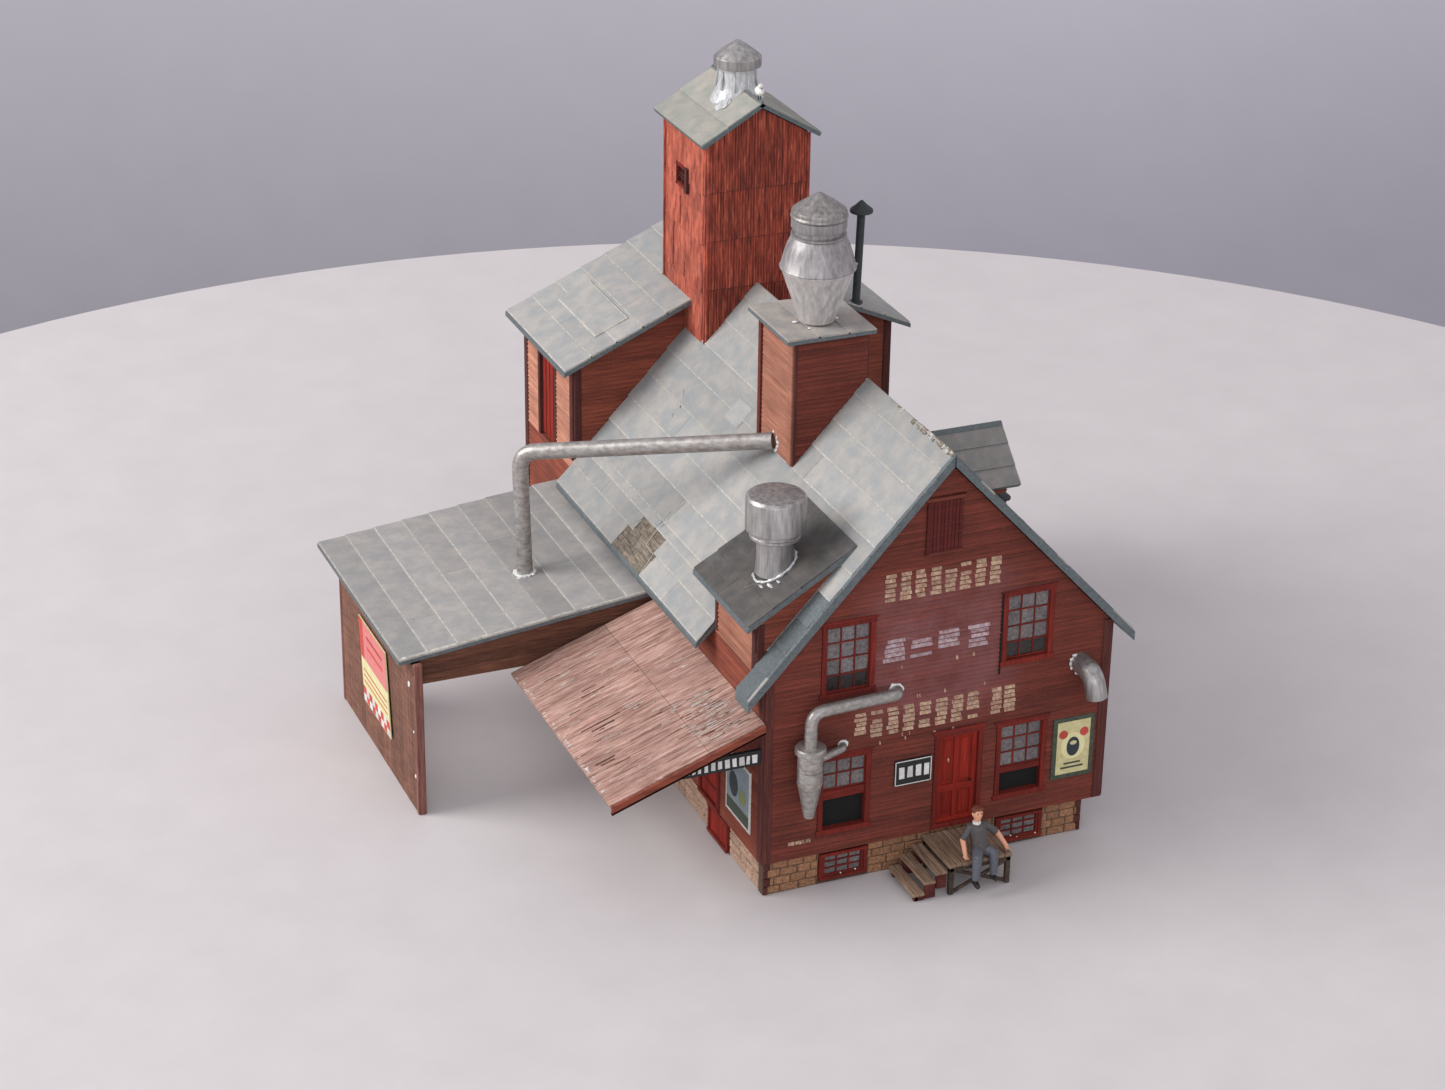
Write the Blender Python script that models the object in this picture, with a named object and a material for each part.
"""Model railway feed mill, built up from card, strip-wood and cast pieces at 1:87.

Sizes below are millimetres in the mill's own plan: x runs along the front gable wall from its
left corner, y runs back along the ridge from the front wall, and z is height above the bench.
The finished part is in metres with its origin under the middle of the whole outline.
"""
import math

import bmesh
import bpy
from mathutils import Matrix, Vector

# ---------------------------------------------------------------- driving dimensions (mm)
GAP = 0.3                     # glue line between neighbouring pieces
CARD = 2.0                    # wall sheet thickness

WALL_WIDTH = 88.0             # front gable wall, corner to corner
BACK_Y = 160.8                # outer face of the back wall
FOUNDATION_H = 8.6
FOUNDATION_INSET_LEFT = 0.7
FOUNDATION_INSET_RIGHT = 4.6  # the siding overhangs the stone on the right
FOUNDATION_INSET_FRONT = 0.6
FOUNDATION_THICK = 2.6

RIDGE_X = WALL_WIDTH / 2
RIDGE_Z = 106.3               # top of the main ridge
MAIN_PITCH = 1.073            # rise over run of the main roof
ROOF_DROP = 3.0               # main roof thickness measured straight down
EAVE_OUT = 5.1                # main eaves beyond the side walls
FRONT_OVERHANG = 2.2
BLOCK_FRONT_Y = 124.2         # front cheeks of the taller rear block
MAIN_ROOF_END_Y = BLOCK_FRONT_Y - GAP

BLOCK_PITCH = 0.44            # rear block roof, rise over run
BLOCK_EAVE_OUT = 4.0
BLOCK_ROOF_FRONT_Y = 120.0
BLOCK_ROOF_BACK_Y = 165.3
BLOCK_DROP = 1.7

DORMER_FRONT_Y = 5.4          # front-left shed dormer
DORMER_BACK_Y = 28.6
DORMER_ROOF_FRONT_Y = 4.2
DORMER_ROOF_BACK_Y = 36.8
DORMER_EAVE_X = -2.75
DORMER_EAVE_Z = 68.8
DORMER_TOP_X = 24.3
DORMER_DROP = 1.8

HOIST_RIDGE_Y = 65.6          # right-hand gabled hoist dormer, ridge across the building
HOIST_RIDGE_Z = 79.7
HOIST_HALF_ROOF = 12.3
HOIST_HALF_WALL = 10.1
HOIST_OUT_X = 91.0
HOIST_DROP = 1.8

TOWER_X0, TOWER_X1 = 30.3, 57.7
TOWER_Y0, TOWER_Y1 = 111.1, 139.3
TOWER_APEX_Z = 153.7
TOWER_PITCH = 0.585
TOWER_EAVE_OUT = 2.5
TOWER_GABLE_OUT = 2.1
TOWER_DROP = 1.9

HOUSE_X0, HOUSE_X1 = 25.35, 44.0   # head house on the left slope
HOUSE_Y0, HOUSE_Y1 = 45.1, 65.0
HOUSE_ROOF_X0, HOUSE_ROOF_X1 = 22.7, 45.0
HOUSE_ROOF_Y0, HOUSE_ROOF_Y1 = 42.6, 66.4
HOUSE_ROOF_TOP_Z = 119.5
HOUSE_ROOF_THICK = 1.6

SHED_X0 = -65.3               # drive-through shed, outer roof edge
SHED_Y0, SHED_Y1 = 66.4, 135.7
SHED_OUTER_Z, SHED_WALL_Z = 41.6, 48.9
SHED_DROP = 1.5
SHED_END_X = -62.2
SHED_END_Y0, SHED_END_Y1 = 64.0, 127.6
SHED_HEADER_Z = 33.8

CANOPY_X0 = -37.8             # lean-to canopy in front of the shed
CANOPY_Y0, CANOPY_Y1 = -1.1, 66.0
CANOPY_OUTER_Z, CANOPY_WALL_Z = 33.3, 46.9
CANOPY_DROP = 1.2

WINDOW_X = (13.6, 59.1)       # left edges of the two window columns
WINDOW_W = 13.2
UPPER_WINDOW_Z = (49.4, 68.4)
LOWER_WINDOW_Z = (13.8, 34.3)
DOOR_X = (43.0, 55.5)
DOOR_Z = (9.2, 34.7)
HATCH_X = (37.7, 47.4)
HATCH_Z = (81.4, 94.9)
BASEMENT_X = (14.8, 60.6)
BASEMENT_W = 12.2
BASEMENT_Z = (0.9, 7.9)

LANDING_X = (40.6, 57.0)
LANDING_Y = (-15.4, -GAP)
LANDING_TOP_Z = 8.2
LANDING_THICK = 1.0
STAIR_X0 = 31.9
STAIR_TOPS_Z = (2.2, 4.8, 6.8)  # the three treads are unevenly glued
STAIR_Y = (-15.2, -1.2)

SHOE_TIP_Y = -20.4            # furthest forward point of the seated figure
SHOE_TIP_RADIUS = 0.7
BALL_REACH_Y = 0.85065        # how far a unit ball of the figure's coarse skin reaches along y
HIP_X = 49.4
HANDS = ((-4.2, -14.2), (6.7, -13.5))   # left and right hand: x from the hip, and y

VENT_SIDES = 24
VENT_CENTRE = (33.7, 51.6)    # big ventilator on the head house
DRUM_CENTRE = (9.3, 17.3)     # drum ventilator on the shed dormer
CYCLONE_CENTRE = (9.2, -5.2)
CYCLONE_RADIUS = 2.95
STACK_CENTRE = (76.7, 122.0)
STACK_TOP_Z = 116.6
SLOPE_VENT_CENTRE = (80.0, 41.5)
TOWER_WINDOW_Y = (122.2, 130.2)
TOWER_WINDOW_Z = (127.4, 133.6)
PIPE_RADIUS = 2.0             # blower pipe from the head house to the shed
PIPE_START = (HOUSE_X0 + 2.0, 53.8, 89.3)
PIPE_CORNER = (-25.6, 92.4, 78.2)
PIPE_FOOT = (-24.9, 91.8)

DOOR_BOARD_X, DOOR_BOARD_Z = (32.8, 42.2), (23.0, 29.6)
SIDE_DOOR_Y, SIDE_DOOR_Z = (24.6, 36.8), (9.2, 33.4)
SIDE_HATCH_Y, SIDE_HATCH_Z = (20.4, 32.4), (0.4, 8.3)
PAPER = 0.5                   # posters are card-backed paper
FRONT_POSTER_X, FRONT_POSTER_Z = (74.0, 84.9), (16.0, 32.3)
SIDE_POSTER_Y, SIDE_POSTER_Z = (6.0, 20.4), (13.6, 29.8)
SHED_POSTER_Y, SHED_POSTER_Z = (84.0, 109.0), (10.6, 33.2)
CANOPY_BOARD_X, CANOPY_BOARD_Z = (-20.5, -0.6), (35.4, 39.1)

# ---------------------------------------------------------------- frame
X_MIN = SHED_X0
X_MAX = WALL_WIDTH + EAVE_OUT
Y_MIN = SHOE_TIP_Y
Y_MAX = BLOCK_ROOF_BACK_Y
ORIGIN = Vector(((X_MIN + X_MAX) / 2, (Y_MIN + Y_MAX) / 2, 0.0))
MM = 0.001


def main_roof_z(x):
    """Top of the main roof at plan position x."""
    return RIDGE_Z - MAIN_PITCH * abs(x - RIDGE_X)


def block_roof_z(x):
    """Top of the rear block roof at plan position x."""
    return RIDGE_Z - BLOCK_PITCH * abs(x - RIDGE_X)


def dormer_roof_z(x):
    """Top of the shed dormer roof at plan position x."""
    rise = (main_roof_z(DORMER_TOP_X) - DORMER_EAVE_Z) / (DORMER_TOP_X - DORMER_EAVE_X)
    return DORMER_EAVE_Z + rise * (x - DORMER_EAVE_X)


def tower_roof_z(x):
    """Top of the tower roof at plan position x."""
    return TOWER_APEX_Z - TOWER_PITCH * abs(x - RIDGE_X)


def hoist_roof_z(y):
    """Top of the hoist dormer roof at plan position y; it falls at 45 degrees."""
    return HOIST_RIDGE_Z - abs(y - HOIST_RIDGE_Y)


def shed_roof_z(x):
    """Top of the drive-through shed roof at plan position x."""
    return SHED_WALL_Z + (SHED_WALL_Z - SHED_OUTER_Z) / (0 - SHED_X0) * x


def canopy_roof_z(x):
    """Top of the canopy at plan position x."""
    return CANOPY_WALL_Z + (CANOPY_WALL_Z - CANOPY_OUTER_Z) / (0 - CANOPY_X0) * x


# ---------------------------------------------------------------- building blocks
def clear_scene():
    """Empty the file of objects."""
    for obj in list(bpy.data.objects):
        bpy.data.objects.remove(obj, do_unlink=True)


def paint(name, colour, roughness, metallic=0.0):
    """A plain Principled material."""
    material = bpy.data.materials.new(name)
    material.use_nodes = True
    shader = material.node_tree.nodes["Principled BSDF"]
    shader.inputs["Base Color"].default_value = (*colour, 1.0)
    shader.inputs["Roughness"].default_value = roughness
    shader.inputs["Metallic"].default_value = metallic
    return material


def finish(name, mesh_data, material, smooth=False):
    """Turn a bmesh in plan millimetres into a placed object in metres."""
    bmesh.ops.recalc_face_normals(mesh_data, faces=mesh_data.faces[:])
    if mesh_data.calc_volume(signed=True) < 0:
        bmesh.ops.reverse_faces(mesh_data, faces=mesh_data.faces[:])
    bmesh.ops.translate(mesh_data, verts=mesh_data.verts[:], vec=-ORIGIN)
    bmesh.ops.scale(mesh_data, verts=mesh_data.verts[:], vec=(MM, MM, MM))
    mesh = bpy.data.meshes.new(name)
    mesh_data.to_mesh(mesh)
    mesh_data.free()
    obj = bpy.data.objects.new(name, mesh)
    bpy.context.scene.collection.objects.link(obj)
    obj.data.materials.append(material)
    if smooth:
        mesh.shade_smooth()
        mesh.set_sharp_from_angle(angle=math.radians(35))
    return obj


def add_prism(mesh_data, outline, axis, start, end):
    """Extrude a 2-D outline along one axis; outline points keep the other two axes in order."""
    def place(point, along):
        first, second = point
        if axis == "x":
            return (along, first, second)
        if axis == "y":
            return (first, along, second)
        return (first, second, along)

    near = [mesh_data.verts.new(place(p, start)) for p in outline]
    far = [mesh_data.verts.new(place(p, end)) for p in outline]
    mesh_data.faces.new(near)
    mesh_data.faces.new(list(reversed(far)))
    count = len(outline)
    for i in range(count):
        j = (i + 1) % count
        mesh_data.faces.new((near[j], near[i], far[i], far[j]))


def prism(name, outline, axis, start, end, material):
    """One extruded sheet or strip."""
    mesh_data = bmesh.new()
    add_prism(mesh_data, outline, axis, start, end)
    return finish(name, mesh_data, material)


def box(name, x, y, z, material):
    """A rectangular piece from pairs of limits."""
    outline = [(x[0], y[0]), (x[1], y[0]), (x[1], y[1]), (x[0], y[1])]
    return prism(name, outline, "z", z[0], z[1], material)


def framed_panel(name, across, z, y_front, y_back, border, recess, material, faces_left=False):
    """A casing with a sunk field. With faces_left the panel looks along -x and across means y."""
    mesh_data = bmesh.new()

    def loop(inset, depth):
        corners = rectangle((across[0] + inset, across[1] - inset), (z[0] + inset, z[1] - inset))
        if faces_left:
            return [mesh_data.verts.new((depth, a, b)) for a, b in corners]
        return [mesh_data.verts.new((a, depth, b)) for a, b in corners]

    back = loop(0.0, y_back)
    outer = loop(0.0, y_front)
    inner = loop(border, y_front)
    sunk = loop(border, y_front + recess)
    for ring, following in ((back, outer), (outer, inner), (inner, sunk)):
        for i in range(4):
            j = (i + 1) % 4
            mesh_data.faces.new((ring[i], ring[j], following[j], following[i]))
    mesh_data.faces.new(list(reversed(back)))
    mesh_data.faces.new(sunk)
    return finish(name, mesh_data, material)


def add_lathe(mesh_data, centre, profile, sides=VENT_SIDES):
    """Turn (radius, height) points round a vertical axis; first and last ends are closed."""
    rings = []
    for radius, height in profile:
        ring = []
        for i in range(sides):
            angle = 2 * math.pi * i / sides
            ring.append(mesh_data.verts.new((centre[0] + radius * math.cos(angle),
                                             centre[1] + radius * math.sin(angle),
                                             height)))
        rings.append(ring)
    for low, high in zip(rings, rings[1:]):
        for i in range(sides):
            j = (i + 1) % sides
            mesh_data.faces.new((low[i], low[j], high[j], high[i]))
    mesh_data.faces.new(list(reversed(rings[0])))
    mesh_data.faces.new(rings[-1])


def lathe(name, centre, profile, material, sides=VENT_SIDES):
    """One turned piece."""
    mesh_data = bmesh.new()
    add_lathe(mesh_data, centre, profile, sides)
    return finish(name, mesh_data, material, smooth=True)


def add_tube(mesh_data, path, radius, sides=12):
    """A solid round bar along a path; its cross-section is carried along without twist."""
    points = [Vector(p) for p in path]
    rings = []
    across = None
    for i, point in enumerate(points):
        before = points[max(i - 1, 0)]
        after = points[min(i + 1, len(points) - 1)]
        along = (after - before).normalized()
        if across is None:
            across = along.cross(Vector((0.31, 0.95, 0.12)))
        across = (across - along * across.dot(along)).normalized()
        up = along.cross(across)
        ring = []
        for k in range(sides):
            angle = 2 * math.pi * k / sides
            offset = across * math.cos(angle) + up * math.sin(angle)
            ring.append(mesh_data.verts.new(point + offset * radius))
        rings.append(ring)
    for low, high in zip(rings, rings[1:]):
        for k in range(sides):
            m = (k + 1) % sides
            mesh_data.faces.new((low[k], low[m], high[m], high[k]))
    mesh_data.faces.new(list(reversed(rings[0])))
    mesh_data.faces.new(rings[-1])


def tube(name, path, radius, material, sides=12):
    """One bent pipe."""
    mesh_data = bmesh.new()
    add_tube(mesh_data, path, radius, sides)
    return finish(name, mesh_data, material, smooth=True)


def elbow_path(before, corner, after, radius, steps=4):
    """Points round a bend from one straight to the next."""
    corner = Vector(corner)
    into = (corner - Vector(before)).normalized()
    out = (Vector(after) - corner).normalized()
    start = corner - into * radius
    end = corner + out * radius
    points = []
    for i in range(steps + 1):
        t = i / steps
        points.append(start * (1 - t) ** 2 + corner * 2 * t * (1 - t) + end * t ** 2)
    return points


def guide(name, build):
    """A hidden helper solid used by a Boolean."""
    mesh_data = bmesh.new()
    build(mesh_data)
    helper = finish(name, mesh_data, HELPER)
    helper.hide_render = True
    helper.display_type = "WIRE"
    return helper


def combine(obj, helper, operation):
    """Add an exact Boolean."""
    modifier = obj.modifiers.new(operation.lower(), "BOOLEAN")
    modifier.operation = operation
    modifier.solver = "EXACT"
    modifier.object = helper


def cut(obj, name, outline, axis, start, end):
    """Cut an extruded outline out of a piece."""
    helper = guide(name, lambda m: add_prism(m, outline, axis, start, end))
    combine(obj, helper, "DIFFERENCE")


def rectangle(a, b):
    """Outline of a rectangle from two limit pairs."""
    return [(a[0], b[0]), (a[1], b[0]), (a[1], b[1]), (a[0], b[1])]


def sloped_sheet(x0, x1, top, drop):
    """Cross-section of a roof sheet between two x positions."""
    return [(x0, top(x0) - drop), (x1, top(x1) - drop), (x1, top(x1)), (x0, top(x0))]


# ---------------------------------------------------------------- the pieces
def build_foundation():
    """Four cast stone strips; the front one has two basement window openings."""
    x0 = FOUNDATION_INSET_LEFT
    x1 = WALL_WIDTH - FOUNDATION_INSET_RIGHT
    y0 = FOUNDATION_INSET_FRONT
    y1 = BACK_Y - FOUNDATION_INSET_FRONT
    top = FOUNDATION_H
    front = box("foundation_front", (x0, x1), (y0, y0 + FOUNDATION_THICK), (0, top), STONE)
    for i, left in enumerate(BASEMENT_X):
        opening = rectangle((left - GAP, left + BASEMENT_W + GAP),
                            (BASEMENT_Z[0] - GAP, BASEMENT_Z[1] + GAP))
        cut(front, f"basement_cut_{i}", opening, "y", -5, y0 + FOUNDATION_THICK + 2)
    box("foundation_back", (x0, x1), (y1 - FOUNDATION_THICK, y1), (0, top), STONE)
    inner = (y0 + FOUNDATION_THICK + GAP, y1 - FOUNDATION_THICK - GAP)
    box("foundation_left", (x0, x0 + FOUNDATION_THICK), inner, (0, top), STONE)
    box("foundation_right", (x1 - FOUNDATION_THICK, x1), inner, (0, top), STONE)
    sides = ("left", "right")
    for left, side in zip(BASEMENT_X, sides):
        framed_panel(f"basement_window_{side}", (left, left + BASEMENT_W), BASEMENT_Z,
                     y0 - 0.2, y0 + 1.4, 1.0, 0.6, TRIM)


def build_front_and_back():
    """Gable walls. The front has window and door openings."""
    base = FOUNDATION_H + GAP
    eave = main_roof_z(0) - ROOF_DROP - GAP
    apex = RIDGE_Z - ROOF_DROP - GAP
    gable = [(0, base), (WALL_WIDTH, base), (WALL_WIDTH, eave), (RIDGE_X, apex), (0, eave)]
    front = prism("wall_front", gable, "y", 0, CARD, SIDING)
    openings = [((x, x + WINDOW_W), z) for x in WINDOW_X for z in (UPPER_WINDOW_Z, LOWER_WINDOW_Z)]
    openings.append((DOOR_X, DOOR_Z))
    for i, (x, z) in enumerate(openings):
        hole = rectangle((x[0] - GAP, x[1] + GAP), (z[0] - GAP, z[1] + GAP))
        cut(front, f"front_cut_{i}", hole, "y", -3, CARD + 3)

    top = block_roof_z(0) - BLOCK_DROP - GAP
    block_apex = RIDGE_Z - BLOCK_DROP - GAP
    tall = [(0, base), (WALL_WIDTH, base), (WALL_WIDTH, top), (RIDGE_X, block_apex), (0, top)]
    prism("wall_back", tall, "y", BACK_Y - CARD, BACK_Y, SIDING)


def build_side_walls():
    """Side walls, one flush sheet each, rising behind the dormer and the rear block."""
    base = FOUNDATION_H + GAP
    eave_left = main_roof_z(0) - ROOF_DROP - GAP
    y0 = CARD + GAP
    y1 = BACK_Y - CARD - GAP
    dormer_top = dormer_roof_z(0) - DORMER_DROP - GAP
    block_top = block_roof_z(0) - BLOCK_DROP - GAP
    left = [(y0, base), (y1, base), (y1, block_top), (BLOCK_FRONT_Y, block_top),
            (BLOCK_FRONT_Y, eave_left), (DORMER_BACK_Y, eave_left), (DORMER_BACK_Y, dormer_top),
            (DORMER_FRONT_Y, dormer_top), (DORMER_FRONT_Y, eave_left), (y0, eave_left)]
    prism("wall_left", left, "x", 0, CARD, SIDING_SUNLIT)

    hoist_eave = hoist_roof_z(HOIST_RIDGE_Y - HOIST_HALF_WALL) - HOIST_DROP - GAP
    hoist_apex = HOIST_RIDGE_Z - HOIST_DROP - GAP
    front_y = HOIST_RIDGE_Y - HOIST_HALF_WALL
    back_y = HOIST_RIDGE_Y + HOIST_HALF_WALL
    right = [(y0, base), (y1, base), (y1, block_top), (BLOCK_FRONT_Y, block_top),
             (BLOCK_FRONT_Y, eave_left), (back_y, eave_left), (back_y, hoist_eave),
             (HOIST_RIDGE_Y, hoist_apex), (front_y, hoist_eave), (front_y, eave_left),
             (y0, eave_left)]
    prism("wall_right", right, "x", WALL_WIDTH - CARD, WALL_WIDTH, SIDING)


def build_main_roof():
    """Two card slopes; the left one is let out round the shed dormer, the right round the hoist."""
    y = (-FRONT_OVERHANG, MAIN_ROOF_END_Y)
    half_gap = GAP / 2
    left = prism("roof_left", sloped_sheet(-EAVE_OUT, RIDGE_X - half_gap, main_roof_z, ROOF_DROP),
                 "y", y[0], y[1], ROOFING)
    notch = rectangle((-EAVE_OUT - 3, CARD + GAP), (DORMER_FRONT_Y - GAP, DORMER_BACK_Y + GAP))
    cut(left, "dormer_cut", notch, "z", 30, 120)
    right = prism("roof_right",
                  sloped_sheet(RIDGE_X + half_gap, WALL_WIDTH + EAVE_OUT, main_roof_z, ROOF_DROP),
                  "y", y[0], y[1], ROOFING)
    notch = rectangle((WALL_WIDTH - CARD - GAP, WALL_WIDTH + EAVE_OUT + 3),
                      (HOIST_RIDGE_Y - HOIST_HALF_WALL - GAP,
                       HOIST_RIDGE_Y + HOIST_HALF_WALL + GAP))
    cut(right, "hoist_cut", notch, "z", 30, 120)


def build_rear_block():
    """Taller rear block: low-pitch roof halves round the tower, and cheeks on the main slopes."""
    y = (BLOCK_ROOF_FRONT_Y, BLOCK_ROOF_BACK_Y)
    half_gap = GAP / 2
    tower = rectangle((TOWER_X0 - GAP, TOWER_X1 + GAP), (BLOCK_ROOF_FRONT_Y - 5, TOWER_Y1 + GAP))
    halves = (("block_roof_left", -BLOCK_EAVE_OUT, RIDGE_X - half_gap),
              ("block_roof_right", RIDGE_X + half_gap, WALL_WIDTH + BLOCK_EAVE_OUT))
    for name, x0, x1 in halves:
        sheet = prism(name, sloped_sheet(x0, x1, block_roof_z, BLOCK_DROP), "y", y[0], y[1],
                      ROOFING)
        cut(sheet, f"{name}_cut", tower, "z", 60, 140)

    inner_left = CARD + GAP
    edge = TOWER_X0 - GAP
    under = BLOCK_DROP + GAP
    cheek = [(inner_left, main_roof_z(inner_left) - ROOF_DROP), (edge, main_roof_z(edge) - ROOF_DROP),
             (edge, block_roof_z(edge) - under), (inner_left, block_roof_z(inner_left) - under)]
    mirrored = [(WALL_WIDTH - x, z) for x, z in cheek]
    y = (BLOCK_FRONT_Y, BLOCK_FRONT_Y + CARD)
    prism("block_cheek_left", cheek, "y", y[0], y[1], SIDING)
    prism("block_cheek_right", mirrored, "y", y[0], y[1], SIDING)


def build_shed_dormer():
    """Shed dormer at the front of the left slope: two triangular cheeks and a roof."""
    x0 = CARD + GAP
    under = DORMER_DROP + GAP
    rise = (dormer_roof_z(1) - dormer_roof_z(0))
    meet = RIDGE_X - (RIDGE_Z + GAP - (dormer_roof_z(RIDGE_X) - under)) / (MAIN_PITCH - rise)
    cheek = [(x0, main_roof_z(x0) + GAP), (meet - 0.6, main_roof_z(meet - 0.6) + GAP),
             (x0, dormer_roof_z(x0) - under)]
    prism("dormer_cheek_front", cheek, "y", DORMER_FRONT_Y, DORMER_FRONT_Y + CARD, SIDING)
    prism("dormer_cheek_back", cheek, "y", DORMER_BACK_Y - CARD, DORMER_BACK_Y, SIDING)
    top_x = DORMER_TOP_X - 0.8
    low = main_roof_z(top_x) + GAP
    roof = [(DORMER_EAVE_X, dormer_roof_z(DORMER_EAVE_X) - DORMER_DROP),
            (DORMER_EAVE_X, dormer_roof_z(DORMER_EAVE_X)),
            (top_x, max(low + 0.1, dormer_roof_z(top_x)))]
    foot = RIDGE_X - (RIDGE_Z + GAP - (dormer_roof_z(RIDGE_X) - DORMER_DROP)) / (MAIN_PITCH - rise)
    roof += [(top_x, low), (foot, main_roof_z(foot) + GAP)]
    prism("dormer_roof", roof, "y", DORMER_ROOF_FRONT_Y, DORMER_ROOF_BACK_Y, ROOFING)


def build_hoist_dormer():
    """Gabled dormer on the right slope: a folded roof and the wedge-shaped walls below it."""
    inner = RIDGE_X + (RIDGE_Z + GAP - HOIST_RIDGE_Z) / MAIN_PITCH + 1.0
    y0 = HOIST_RIDGE_Y - HOIST_HALF_ROOF
    y1 = HOIST_RIDGE_Y + HOIST_HALF_ROOF
    low = hoist_roof_z(y0)
    profile = [(y0, low), (y0, low - HOIST_DROP), (HOIST_RIDGE_Y, HOIST_RIDGE_Z - HOIST_DROP),
               (y1, low - HOIST_DROP), (y1, low), (HOIST_RIDGE_Y, HOIST_RIDGE_Z)]
    roof = prism("hoist_dormer_roof", profile, "x", inner, HOIST_OUT_X, ROOFING)
    slope = [(inner - 5, main_roof_z(inner - 5) + GAP), (WALL_WIDTH + 5, main_roof_z(WALL_WIDTH + 5) + GAP),
             (WALL_WIDTH + 5, 20), (inner - 5, 20)]
    cut(roof, "hoist_roof_cut", slope, "y", 30, 100)

    wall_y = (HOIST_RIDGE_Y - HOIST_HALF_WALL, HOIST_RIDGE_Y + HOIST_HALF_WALL)
    under = HOIST_DROP + GAP
    section = [(wall_y[0], 40), (wall_y[1], 40), (wall_y[1], hoist_roof_z(wall_y[1]) - under),
               (HOIST_RIDGE_Y, HOIST_RIDGE_Z - under), (wall_y[0], hoist_roof_z(wall_y[0]) - under)]
    outer = WALL_WIDTH - CARD - 2 * GAP
    walls = prism("hoist_dormer_walls", section, "x", inner + 2, outer, SIDING)
    cut(walls, "hoist_wall_cut", slope, "y", 30, 100)


def build_tower():
    """Corrugated tower astride the ridge, with its window, roof, ventilator and a bird."""
    under = TOWER_DROP + GAP
    section = [(TOWER_X0, main_roof_z(TOWER_X0) + GAP), (RIDGE_X, RIDGE_Z + GAP),
               (TOWER_X1, main_roof_z(TOWER_X1) + GAP), (TOWER_X1, tower_roof_z(TOWER_X1) - under),
               (RIDGE_X, TOWER_APEX_Z - under), (TOWER_X0, tower_roof_z(TOWER_X0) - under)]
    walls = prism("tower_walls", section, "y", TOWER_Y0, TOWER_Y1, CORRUGATED)
    inside = rectangle((TOWER_X0 + CARD, TOWER_X1 - CARD), (TOWER_Y0 + CARD, TOWER_Y1 - CARD))
    cut(walls, "tower_inside", inside, "z", 60, 170)

    x0, x1 = TOWER_X0 - TOWER_EAVE_OUT, TOWER_X1 + TOWER_EAVE_OUT
    roof = [(x0, tower_roof_z(x0)), (x0, tower_roof_z(x0) - TOWER_DROP),
            (RIDGE_X, TOWER_APEX_Z - TOWER_DROP), (x1, tower_roof_z(x1) - TOWER_DROP),
            (x1, tower_roof_z(x1)), (RIDGE_X, TOWER_APEX_Z)]
    y = (TOWER_Y0 - TOWER_GABLE_OUT, TOWER_Y1 + TOWER_GABLE_OUT)
    prism("tower_roof", roof, "y", y[0], y[1], ROOFING)

    framed_panel("tower_window", TOWER_WINDOW_Y, TOWER_WINDOW_Z, TOWER_X0 - 1.1, TOWER_X0 - GAP,
                 0.9, 0.4, TRIM, faces_left=True)

    centre = (RIDGE_X, (y[0] + y[1]) / 2)
    apex = TOWER_APEX_Z
    profile = [(7.9, apex - 6.5), (6.6, apex - 3.6), (5.4, apex - 0.5), (5.0, apex + 4.4),
               (6.0, apex + 4.6), (6.0, apex + 6.8), (0.4, apex + 10.9)]
    vent = lathe("tower_vent", centre, profile, PEWTER)
    above = GAP
    saddle = [(RIDGE_X - 14, tower_roof_z(RIDGE_X - 14) + above), (RIDGE_X, apex + above),
              (RIDGE_X + 14, tower_roof_z(RIDGE_X + 14) + above), (RIDGE_X + 14, 130),
              (RIDGE_X - 14, 130)]
    cut(vent, "tower_vent_cut", saddle, "y", centre[1] - 15, centre[1] + 15)

    bird = [(0.5, apex + GAP + 0.02), (1.4, apex + 1.2), (1.6, apex + 2.4), (1.0, apex + 3.4),
            (0.3, apex + 4.0)]
    lathe("roof_bird", (RIDGE_X, y[0] + 2.2), bird, BIRD_WHITE, sides=12)


def build_head_house():
    """Head house on the left slope, its slab roof, and the big two-part ventilator."""
    slope = [(HOUSE_X0, main_roof_z(HOUSE_X0) + GAP), (HOUSE_X1, RIDGE_Z + GAP)]
    top = HOUSE_ROOF_TOP_Z - HOUSE_ROOF_THICK - GAP
    section = slope + [(HOUSE_X1, top), (HOUSE_X0, top)]
    walls = prism("head_house_walls", section, "y", HOUSE_Y0, HOUSE_Y1, SIDING)
    inside = rectangle((HOUSE_X0 + CARD, HOUSE_X1 - CARD), (HOUSE_Y0 + CARD, HOUSE_Y1 - CARD))
    cut(walls, "head_house_inside", inside, "z", 60, 150)
    box("head_house_roof", (HOUSE_ROOF_X0, HOUSE_ROOF_X1), (HOUSE_ROOF_Y0, HOUSE_ROOF_Y1),
        (HOUSE_ROOF_TOP_Z - HOUSE_ROOF_THICK, HOUSE_ROOF_TOP_Z), ROOFING)
    base = HOUSE_ROOF_TOP_Z + GAP
    profile = [(4.25, base), (8.6, base + 12.8), (8.95, base + 13.3), (6.4, base + 20.4),
               (6.1, base + 21.2), (6.2, base + 24.0), (6.55, base + 24.2),
               (6.55, base + 27.0), (0.4, base + 30.9)]
    lathe("head_house_vent", VENT_CENTRE, profile, PEWTER)


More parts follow.
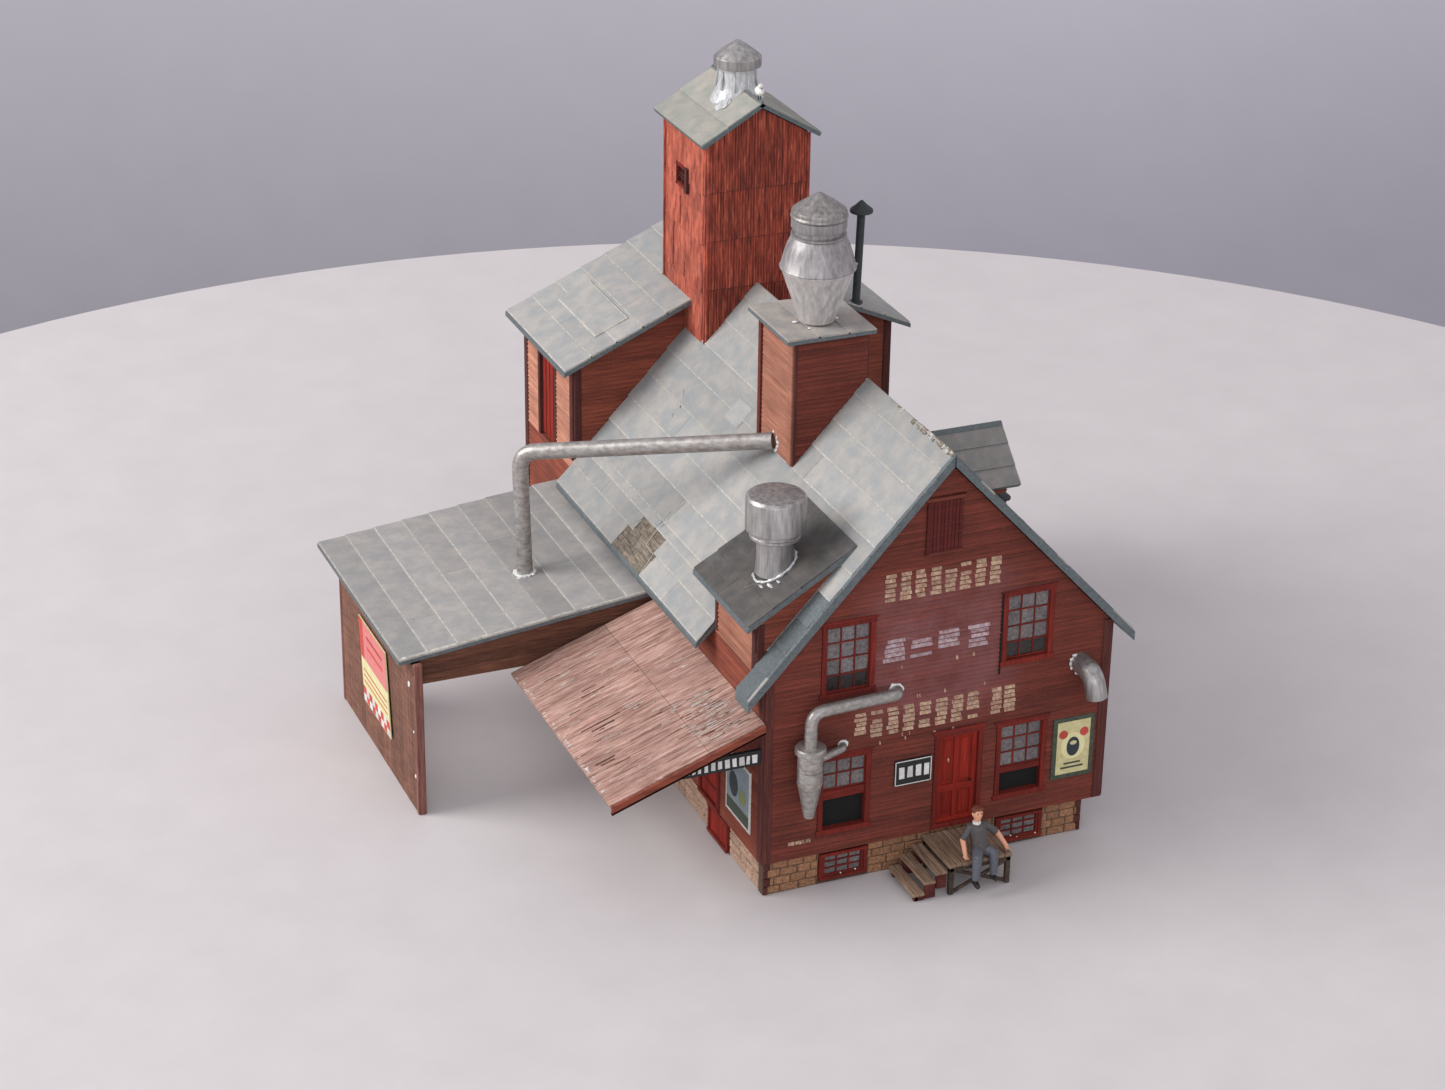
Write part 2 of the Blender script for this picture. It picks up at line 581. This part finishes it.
def build_pipes_and_stacks():
    """Blower pipe down to the shed, smoke stack, drum ventilator and the small slope vent."""
    foot = (PIPE_FOOT[0], PIPE_FOOT[1], shed_roof_z(PIPE_FOOT[0]) + 0.7)
    path = [PIPE_START] + elbow_path(PIPE_START, PIPE_CORNER, foot, 4.5) + [foot]
    pipe = tube("head_house_pipe", path, PIPE_RADIUS, PEWTER)
    cut(pipe, "pipe_end_cut", rectangle((HOUSE_X0 - GAP, HOUSE_X0 + 9), (40, 66)), "z", 70, 110)

    stack_base = block_roof_z(STACK_CENTRE[0]) + 1.0
    top = STACK_TOP_Z
    profile = [(1.05, stack_base), (1.05, top), (3.05, top + 0.3), (3.05, top + 0.8),
               (0.25, top + 3.2)]
    lathe("smoke_stack", STACK_CENTRE, profile, STACK_BLACK, sides=16)

    drum = [(4.25, 79.6), (4.25, 83.6), (5.8, 83.7), (5.8, 85.5), (7.0, 85.7), (7.0, 93.4),
            (6.4, 94.2)]
    lathe("dormer_roof_vent", DRUM_CENTRE, drum, PEWTER)
    base = main_roof_z(SLOPE_VENT_CENTRE[0]) + 1.2
    cap = [(0.65, base), (0.65, base + 1.6), (1.7, base + 1.7), (1.7, base + 2.2),
           (1.0, base + 2.9)]
    lathe("slope_vent", SLOPE_VENT_CENTRE, cap, STACK_BLACK, sides=12)


def build_shed():
    """Drive-through shed: end wall, two header beams and the roof."""
    under = SHED_DROP + GAP
    end_x = (SHED_END_X, SHED_END_X + CARD)
    end = [(end_x[0], 0), (end_x[1], 0), (end_x[1], shed_roof_z(end_x[1]) - under - 0.2),
           (end_x[0], shed_roof_z(end_x[0]) - under - 0.2)]
    prism("shed_end_wall", end, "y", SHED_END_Y0, SHED_END_Y1, BROWN_WOOD)
    x0, x1 = end_x[1] + GAP, -GAP
    header = [(x0, SHED_HEADER_Z), (x1, SHED_HEADER_Z), (x1, shed_roof_z(x1) - under),
              (x0, shed_roof_z(x0) - under)]
    prism("shed_header_front", header, "y", SHED_Y0 + 0.8, SHED_Y0 + 2.6, BROWN_WOOD)
    back_y = SHED_END_Y1 - 2.6
    prism("shed_header_back", header, "y", back_y, back_y + 1.8, BROWN_WOOD)
    roof = sloped_sheet(SHED_X0, -GAP, shed_roof_z, SHED_DROP)
    prism("shed_roof", roof, "y", SHED_Y0, SHED_Y1, ROOFING)
    box("shed_poster", (SHED_END_X - GAP - PAPER, SHED_END_X - GAP), SHED_POSTER_Y,
        SHED_POSTER_Z, POSTER)


def build_canopy():
    """Lean-to canopy, its front fascia and the board hung under it."""
    roof = sloped_sheet(CANOPY_X0, -GAP, canopy_roof_z, CANOPY_DROP)
    prism("canopy_roof", roof, "y", CANOPY_Y0, CANOPY_Y1, CANOPY_WOOD)
    fascia = sloped_sheet(CANOPY_X0 + 0.4, -GAP - 0.2, canopy_roof_z, 2.6)
    fascia = [(x, z - 0.5) for x, z in fascia]
    prism("canopy_fascia", fascia, "y", CANOPY_Y0 - GAP - 0.6, CANOPY_Y0 - GAP, TRIM)
    low, top = CANOPY_BOARD_Z
    left, right = CANOPY_BOARD_X
    under = CANOPY_DROP + 2 * GAP
    run = (CANOPY_WALL_Z - CANOPY_OUTER_Z) / (0 - CANOPY_X0)
    knee = (top + under - CANOPY_WALL_Z) / run
    board = [(left, low), (right, low), (right, top), (knee, top),
             (left, canopy_roof_z(left) - under)]
    prism("canopy_board", board, "y", 0.3, 1.3, DARK_BOARD)


def build_front_fittings():
    """Windows, door, hatch, boards, the cyclone collector and the elbow vent."""
    columns = ("left", "right")
    for x, column in zip(WINDOW_X, columns):
        framed_panel(f"window_upper_{column}", (x, x + WINDOW_W), UPPER_WINDOW_Z, -0.7, 1.5, 1.3, 1.0,
                     TRIM)
        framed_panel(f"window_lower_{column}", (x, x + WINDOW_W), LOWER_WINDOW_Z, -0.7, 1.5, 1.3, 1.0,
                     TRIM)
    framed_panel("front_door", DOOR_X, DOOR_Z, -0.7, 1.5, 1.2, 0.9, TRIM)
    framed_panel("attic_hatch", HATCH_X, HATCH_Z, -1.0, -GAP, 0.9, 0.3, TRIM)
    box("door_board", DOOR_BOARD_X, (-0.9, -GAP), DOOR_BOARD_Z, DARK_BOARD)
    sheet = (-GAP - PAPER, -GAP)
    box("front_poster", FRONT_POSTER_X, sheet, FRONT_POSTER_Z, POSTER)
    box("side_poster", sheet, SIDE_POSTER_Y, SIDE_POSTER_Z, POSTER)
    framed_panel("side_door", SIDE_DOOR_Y, SIDE_DOOR_Z, -1.0, -GAP, 1.0, 0.4, TRIM,
                 faces_left=True)
    stone_x = FOUNDATION_INSET_LEFT - GAP
    framed_panel("side_hatch", SIDE_HATCH_Y, SIDE_HATCH_Z, stone_x - 0.9, stone_x, 0.9, 0.4, TRIM,
                 faces_left=True)

    cyclone = CYCLONE_CENTRE
    radius = CYCLONE_RADIUS
    profile = [(1.2, 22.6), (radius, 31.4), (radius, 39.2), (3.65, 39.4), (3.65, 40.8)]
    lathe("cyclone_body", cyclone, profile, PEWTER)
    start = (32.3, -GAP, 48.4)
    knee = (32.3, -2.3, 48.4)
    corner = (cyclone[0], cyclone[1], 49.4)
    end = (cyclone[0], cyclone[1], 40.8 + GAP)
    outlet = [start] + elbow_path(start, knee, corner, 1.6) + elbow_path(knee, corner, end, 3.6)
    outlet.append(end)
    tube("cyclone_outlet", outlet, 1.45, PEWTER)
    side = (cyclone[0] + radius + GAP, cyclone[1] + 0.4, 37.0)
    knee = (19.0, -1.9, 36.8)
    wall_end = (19.4, -GAP, 36.7)
    inlet = [side] + elbow_path(side, knee, wall_end, 1.2) + [wall_end]
    tube("cyclone_inlet", inlet, 0.95, PEWTER, sides=10)

    vent_start = (80.1, -GAP, 46.6)
    vent_corner = (80.1, -6.6, 46.4)
    vent_end = (81.0, -7.4, 40.6)
    elbow = [vent_start] + elbow_path(vent_start, vent_corner, vent_end, 3.4) + [vent_end]
    tube("elbow_vent", elbow, 2.6, PEWTER)


def build_steps():
    """Plank landing at the door, its braced frame, and the flight of four treads."""
    x0, x1 = LANDING_X
    z = (LANDING_TOP_Z - LANDING_THICK, LANDING_TOP_Z)
    box("landing_deck", LANDING_X, LANDING_Y, z, STEP_WOOD)
    top = z[0] - GAP
    leg = 1.2
    y = (LANDING_Y[0] + 0.4, LANDING_Y[0] + 1.6)
    frame = box("landing_frame", (x0 + 0.3, x1 - 0.3), y, (0, top), STEP_WOOD)
    left, right = x0 + 0.3 + leg, x1 - 0.3 - leg
    rail = top - leg
    middle = ((left + right) / 2, rail / 2)
    half = 0.5
    openings = {"low": [(left + 1.2, -1), (right - 1.2, -1), (middle[0], middle[1] - half)],
                "high": [(left + 1.2, rail), (middle[0], middle[1] + half), (right - 1.2, rail)],
                "west": [(left, 0.6), (middle[0] - 1.1, middle[1]), (left, rail - 0.6)],
                "east": [(right, 0.6), (right, rail - 0.6), (middle[0] + 1.1, middle[1])]}
    for side, outline in openings.items():
        cut(frame, f"landing_gap_{side}", outline, "y", y[0] - 1, y[1] + 1)

    going = (x0 - GAP - STAIR_X0) / len(STAIR_TOPS_Z)
    profile = [(STAIR_X0, 0)]
    for i, tread_z in enumerate(STAIR_TOPS_Z):
        profile.append((STAIR_X0 + i * going, tread_z))
        profile.append((STAIR_X0 + (i + 1) * going, tread_z))
    profile += [(x0 - GAP, STAIR_TOPS_Z[-1] - 2.2), (STAIR_X0 + 2.6, 0)]
    prism("stair_flight", profile, "y", STAIR_Y[0], STAIR_Y[1], STEP_WOOD)


def add_capsule(mesh_data, start, end, radius, end_radius):
    """A limb: the hull of two small spheres."""
    limb = bmesh.new()
    for centre, size in ((start, radius), (end, end_radius)):
        bmesh.ops.create_icosphere(limb, subdivisions=1, radius=size,
                                   matrix=Matrix.Translation(centre))
    bmesh.ops.delete(limb, geom=limb.edges[:], context="EDGES_FACES")
    hull = bmesh.ops.convex_hull(limb, input=limb.verts[:])
    inside = [v for v in hull["geom_interior"] if isinstance(v, bmesh.types.BMVert)]
    bmesh.ops.delete(limb, geom=inside, context="VERTS")
    skin = bpy.data.meshes.new("limb")
    limb.to_mesh(skin)
    limb.free()
    mesh_data.from_mesh(skin)
    bpy.data.meshes.remove(skin)


def build_figure():
    """A man sitting on the front edge of the landing, hands on the deck."""
    seat = LANDING_TOP_Z + 0.35
    hip = Vector((HIP_X, -13.6, seat + 1.7))
    chest = hip + Vector((-0.7, 1.0, 5.4))
    neck = chest + Vector((-0.3, -0.2, 2.3))
    crown = neck + Vector((-0.1, -0.3, 2.0))
    parts = [("torso", hip, chest, 1.65, 1.95), ("head", neck, crown, 0.95, 1.35)]
    tip = SHOE_TIP_Y + SHOE_TIP_RADIUS * BALL_REACH_Y
    legs = (("left", -1, -2.6, -3.2, -18.0, tip), ("right", 1, 2.2, 1.9, -16.9, tip + 1.7))
    for (name, side, knee_x, ankle_x, ankle_y, toe_y), hand_at in zip(legs, HANDS):
        knee = Vector((hip.x + knee_x, ankle_y + 0.9, seat + 1.5))
        ankle = Vector((hip.x + ankle_x, ankle_y, seat - 4.0))
        toe = Vector((ankle.x + side * 0.2, toe_y, ankle.z - 0.6))
        parts.append((f"thigh_{name}", hip + Vector((side * 0.8, 0, 0)), knee, 1.25, 1.0))
        parts.append((f"shin_{name}", knee, ankle, 0.95, 0.75))
        parts.append((f"shoe_{name}", ankle, toe, 0.75, SHOE_TIP_RADIUS))
        hand = Vector((hip.x + hand_at[0], hand_at[1], seat + 0.75))
        shoulder = chest + Vector((side * 1.6, 0.1, 0.7))
        elbow = shoulder.lerp(hand, 0.5) + Vector((side * 0.9, 0.9, 0.2))
        parts.append((f"arm_{name}", shoulder, elbow, 0.85, 0.7))
        parts.append((f"forearm_{name}", elbow, hand, 0.68, 0.6))
    first = parts[0]
    mesh_data = bmesh.new()
    add_capsule(mesh_data, *first[1:])
    figure = finish("seated_figure", mesh_data, FIGURE_PAINT)
    for name, start, end, radius, end_radius in parts[1:]:
        shape = (start, end, radius, end_radius)
        helper = guide(f"figure_{name}", lambda m: add_capsule(m, *shape))
        combine(figure, helper, "UNION")


clear_scene()
HELPER = paint("helper", (0.5, 0.5, 0.5), 0.5)
STONE = paint("cast_stone", (0.30, 0.21, 0.15), 0.9)
SIDING = paint("barn_red_siding", (0.23, 0.045, 0.030), 0.8)
SIDING_SUNLIT = paint("faded_red_siding", (0.48, 0.15, 0.09), 0.8)
CORRUGATED = paint("corrugated_red", (0.30, 0.045, 0.025), 0.7)
ROOFING = paint("tar_paper", (0.36, 0.37, 0.36), 0.85)
CANOPY_WOOD = paint("faded_pink_planks", (0.45, 0.27, 0.22), 0.85)
BROWN_WOOD = paint("brown_boards", (0.16, 0.07, 0.045), 0.8)
STEP_WOOD = paint("grey_brown_wood", (0.12, 0.08, 0.065), 0.85)
TRIM = paint("trim_red", (0.28, 0.030, 0.022), 0.6)
PEWTER = paint("cast_pewter", (0.52, 0.51, 0.49), 0.38, 0.9)
STACK_BLACK = paint("stack_black", (0.035, 0.045, 0.05), 0.6)
DARK_BOARD = paint("dark_board", (0.05, 0.045, 0.045), 0.7)
POSTER = paint("printed_paper", (0.62, 0.56, 0.42), 0.7)
BIRD_WHITE = paint("bird_white", (0.75, 0.74, 0.70), 0.6)
FIGURE_PAINT = paint("figure_paint", (0.10, 0.10, 0.12), 0.6)

build_foundation()
build_front_and_back()
build_side_walls()
build_main_roof()
build_rear_block()
build_shed_dormer()
build_hoist_dormer()
build_tower()
build_head_house()
build_pipes_and_stacks()
build_shed()
build_canopy()
build_front_fittings()
build_steps()
build_figure()
